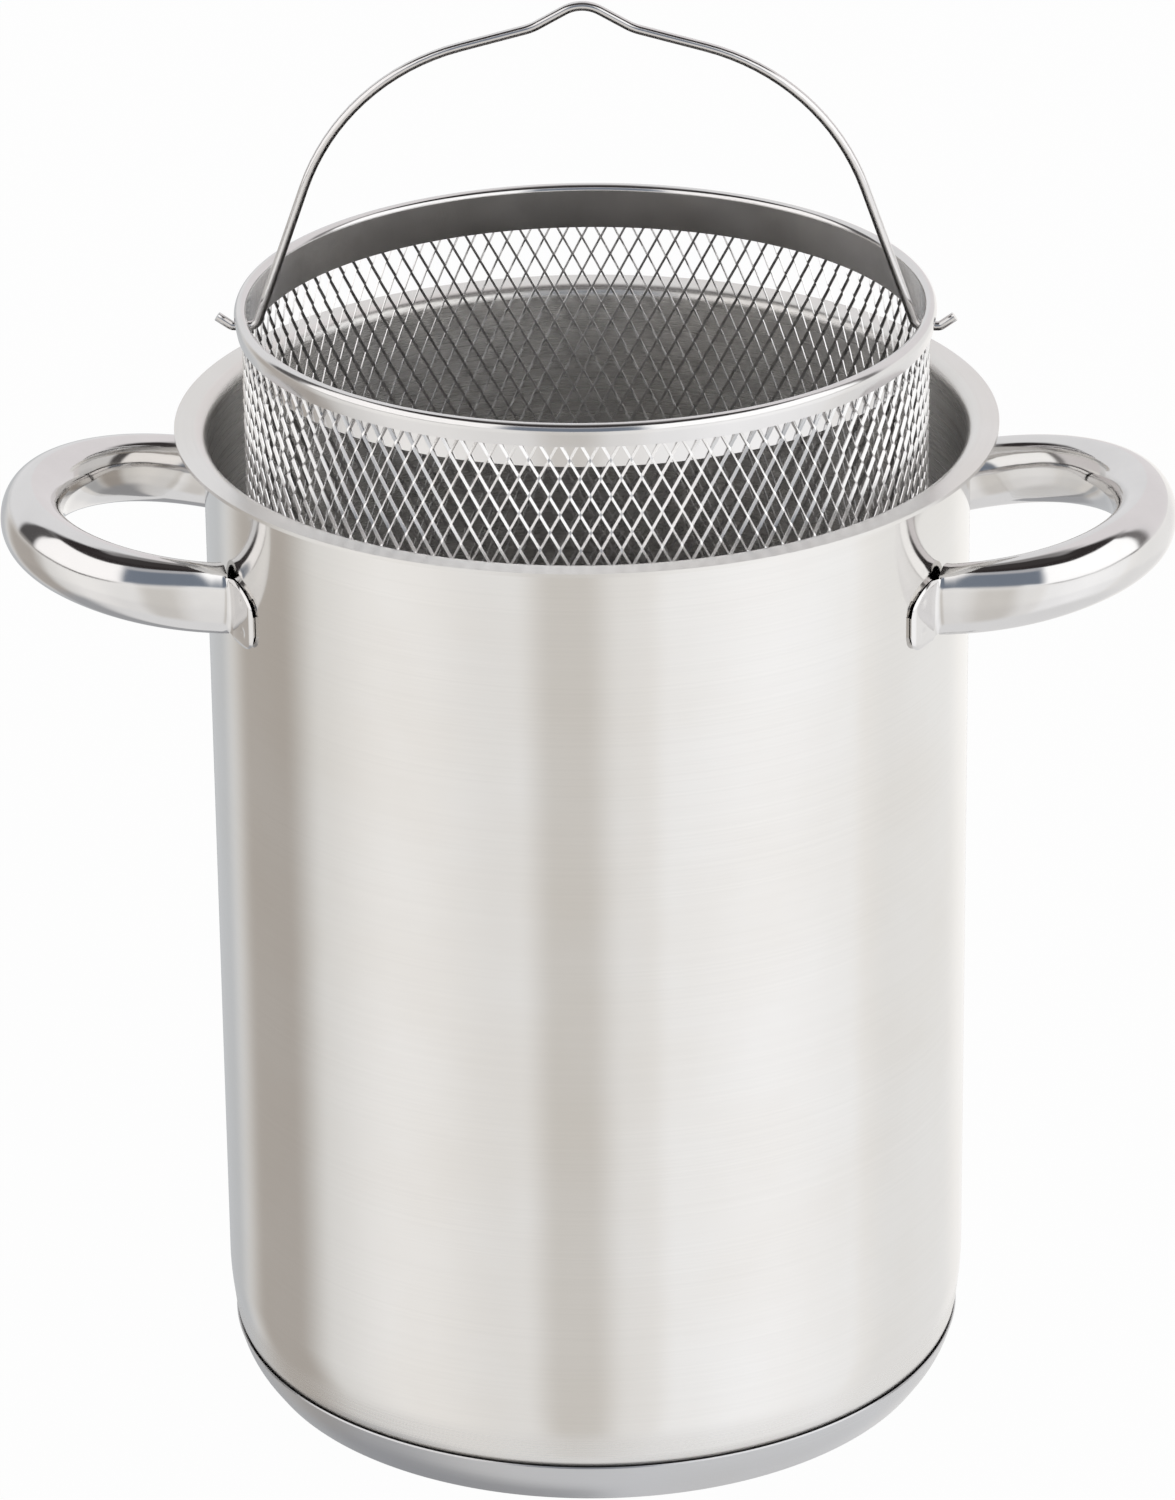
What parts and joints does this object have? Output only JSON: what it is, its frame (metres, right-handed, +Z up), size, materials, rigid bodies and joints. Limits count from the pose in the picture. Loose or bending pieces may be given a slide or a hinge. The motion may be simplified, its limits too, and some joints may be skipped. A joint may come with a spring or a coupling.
{
  "type": "pasta pot with strainer insert",
  "caption": "Tall cylindrical pot with two looped side handles and a lift-out expanded-mesh strainer basket with a swinging wire bail.",
  "frame": {"origin": "centre of the flat underside of the pot's base", "axes": "+Z up out of the mouth of the pot, +X towards the right-hand side handle and along the pivot axis of the basket's bail"},
  "size_m": [0.2464, 0.1718, 0.3068],
  "materials": {
    "body_steel": "satin stainless steel, brushed upwards outside and round inside",
    "cap_steel": "satin stainless steel, pressed",
    "core_aluminium": "bare aluminium, sealed in the base",
    "polished_steel": "mirror-polished stainless steel tube",
    "rim_steel": "bright rolled stainless strip",
    "wire_steel": "polished stainless wire",
    "mesh_steel": "expanded stainless sheet, strand edges bright"
  },
  "bodies": {
    "pot": {"pot_body": "body_steel", "base_core": "core_aluminium", "base_cap": "cap_steel", "handle_right": "polished_steel", "handle_left": "polished_steel"},
    "basket": {"basket_rim_band": "rim_steel", "basket_rim_wire": "wire_steel", "basket_foot_ring": "rim_steel", "basket_wall": "mesh_steel", "basket_floor": "mesh_steel"},
    "bail": {"bail": "wire_steel"}
  },
  "joints": [
    {"name": "basket_lift", "type": "slide", "parent": "pot", "child": "basket", "axis": [0, 0, 1], "range_m": [0, 0.215]},
    {"name": "bail_swing", "type": "hinge", "parent": "basket", "child": "bail", "pos_m": [0, 0, 0.2365], "axis": [1, 0, 0], "range_deg": [-84.5, 84.5]}
  ]
}
